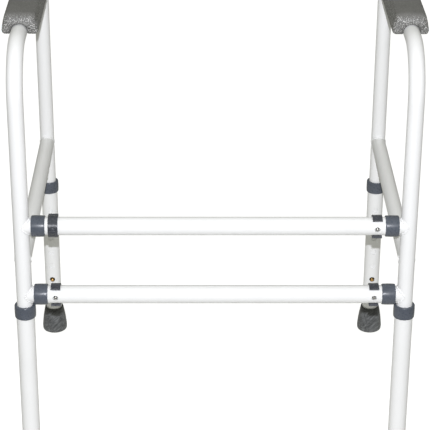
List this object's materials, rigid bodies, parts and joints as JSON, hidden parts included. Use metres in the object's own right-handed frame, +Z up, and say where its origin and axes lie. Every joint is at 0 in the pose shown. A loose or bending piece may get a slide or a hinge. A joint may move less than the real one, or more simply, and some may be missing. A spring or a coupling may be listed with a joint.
{
  "type": "toilet support frame",
  "caption": "Free-standing tubular support frame with padded armrests, telescopic legs and telescopic cross rails at the rear, open at the front.",
  "frame": {"origin": "on the floor, midway between the four feet", "axes": "+Z up, +Y towards the open front, +X to the right as seen from the cross-rail side"},
  "size_m": [0.577, 0.4584, 0.6694],
  "materials": {
    "white_tube": "smooth gloss white powder coat",
    "collar_plastic": "satin blue-grey moulding",
    "clip_plastic": "semi-gloss dark blue-grey moulding",
    "armrest_foam": "grey integral-skin foam with a fine leather grain",
    "ferrule_rubber": "semi-gloss grey rubber with faint flow marks",
    "button_brass": "polished dome",
    "plain_steel": "zinc-plated steel"
  },
  "bodies": {
    "cross_rails": {"rail_upper": "white_tube", "rail_collar_upper_left": "collar_plastic", "rail_collar_upper_right": "collar_plastic", "rail_lower": "white_tube", "rail_collar_lower_left": "collar_plastic", "rail_collar_lower_right": "collar_plastic"},
    "side_frame_left": {"side_tube_left": "white_tube", "side_rail_left": "white_tube", "stub_upper_left": "white_tube", "stub_lower_left": "white_tube", "armrest_pad_left": "armrest_foam", "armrest_insert_left": "plain_steel", "armrest_screws_left": "plain_steel", "snap_spring_rear_left": "plain_steel", "snap_spring_front_left": "plain_steel"},
    "side_frame_right": {"side_tube_right": "white_tube", "side_rail_right": "white_tube", "stub_upper_right": "white_tube", "stub_lower_right": "white_tube", "armrest_pad_right": "armrest_foam", "armrest_insert_right": "plain_steel", "armrest_screws_right": "plain_steel", "snap_spring_rear_right": "plain_steel", "snap_spring_front_right": "plain_steel"},
    "clip_upper_left": {"clip_band_upper_left": "clip_plastic", "clip_pin_upper_left": "plain_steel"},
    "clip_upper_right": {"clip_band_upper_right": "clip_plastic", "clip_pin_upper_right": "plain_steel"},
    "clip_lower_left": {"clip_band_lower_left": "clip_plastic", "clip_pin_lower_left": "plain_steel"},
    "clip_lower_right": {"clip_band_lower_right": "clip_plastic", "clip_pin_lower_right": "plain_steel"},
    "leg_rear_left": {"leg_tube_rear_left": "white_tube", "leg_collar_rear_left": "collar_plastic", "ferrule_rear_left": "ferrule_rubber", "ferrule_washer_rear_left": "plain_steel"},
    "button_rear_left": {"snap_button_rear_left": "button_brass"},
    "leg_front_left": {"leg_tube_front_left": "white_tube", "leg_collar_front_left": "collar_plastic", "ferrule_front_left": "ferrule_rubber", "ferrule_washer_front_left": "plain_steel"},
    "button_front_left": {"snap_button_front_left": "button_brass"},
    "leg_rear_right": {"leg_tube_rear_right": "white_tube", "leg_collar_rear_right": "collar_plastic", "ferrule_rear_right": "ferrule_rubber", "ferrule_washer_rear_right": "plain_steel"},
    "button_rear_right": {"snap_button_rear_right": "button_brass"},
    "leg_front_right": {"leg_tube_front_right": "white_tube", "leg_collar_front_right": "collar_plastic", "ferrule_front_right": "ferrule_rubber", "ferrule_washer_front_right": "plain_steel"},
    "button_front_right": {"snap_button_front_right": "button_brass"}
  },
  "joints": [
    {"name": "width_left", "type": "slide", "parent": "cross_rails", "child": "side_frame_left", "axis": [-1, 0, 0], "range_m": [0, 0.0762]},
    {"name": "width_right", "type": "slide", "parent": "cross_rails", "child": "side_frame_right", "axis": [1, 0, 0], "range_m": [0, 0.0762]},
    {"name": "clip_pull_upper_left", "type": "slide", "parent": "cross_rails", "child": "clip_upper_left", "axis": [0, -1, 0], "range_m": [0, 0.032], "deforming": ["clip_band_upper_left"]},
    {"name": "clip_pull_upper_right", "type": "slide", "parent": "cross_rails", "child": "clip_upper_right", "axis": [0, 1, 0], "range_m": [0, 0.032], "deforming": ["clip_band_upper_right"]},
    {"name": "clip_pull_lower_left", "type": "slide", "parent": "cross_rails", "child": "clip_lower_left", "axis": [0, 1, 0], "range_m": [0, 0.032], "deforming": ["clip_band_lower_left"]},
    {"name": "clip_pull_lower_right", "type": "slide", "parent": "cross_rails", "child": "clip_lower_right", "axis": [0, 1, 0], "range_m": [0, 0.032], "deforming": ["clip_band_lower_right"]},
    {"name": "leg_height_rear_left", "type": "slide", "parent": "side_frame_left", "child": "leg_rear_left", "axis": [0, 0, -1], "range_m": [0, 0.127], "deforming": ["snap_button_rear_left", "snap_spring_rear_left"]},
    {"name": "button_press_rear_left", "type": "slide", "parent": "side_frame_left", "child": "button_rear_left", "axis": [0, -1, 0], "range_m": [0, 0.005], "stiffness_N_per_m": 800, "deforming": ["snap_spring_rear_left"]},
    {"name": "leg_height_front_left", "type": "slide", "parent": "side_frame_left", "child": "leg_front_left", "axis": [0, 0, -1], "range_m": [0, 0.127], "deforming": ["snap_button_front_left", "snap_spring_front_left"]},
    {"name": "button_press_front_left", "type": "slide", "parent": "side_frame_left", "child": "button_front_left", "axis": [0, 1, 0], "range_m": [0, 0.005], "stiffness_N_per_m": 800, "deforming": ["snap_spring_front_left"]},
    {"name": "leg_height_rear_right", "type": "slide", "parent": "side_frame_right", "child": "leg_rear_right", "axis": [0, 0, -1], "range_m": [0, 0.127], "deforming": ["snap_button_rear_right", "snap_spring_rear_right"]},
    {"name": "button_press_rear_right", "type": "slide", "parent": "side_frame_right", "child": "button_rear_right", "axis": [0, -1, 0], "range_m": [0, 0.005], "stiffness_N_per_m": 800, "deforming": ["snap_spring_rear_right"]},
    {"name": "leg_height_front_right", "type": "slide", "parent": "side_frame_right", "child": "leg_front_right", "axis": [0, 0, -1], "range_m": [0, 0.127], "deforming": ["snap_button_front_right", "snap_spring_front_right"]},
    {"name": "button_press_front_right", "type": "slide", "parent": "side_frame_right", "child": "button_front_right", "axis": [0, 1, 0], "range_m": [0, 0.005], "stiffness_N_per_m": 800, "deforming": ["snap_spring_front_right"]}
  ]
}
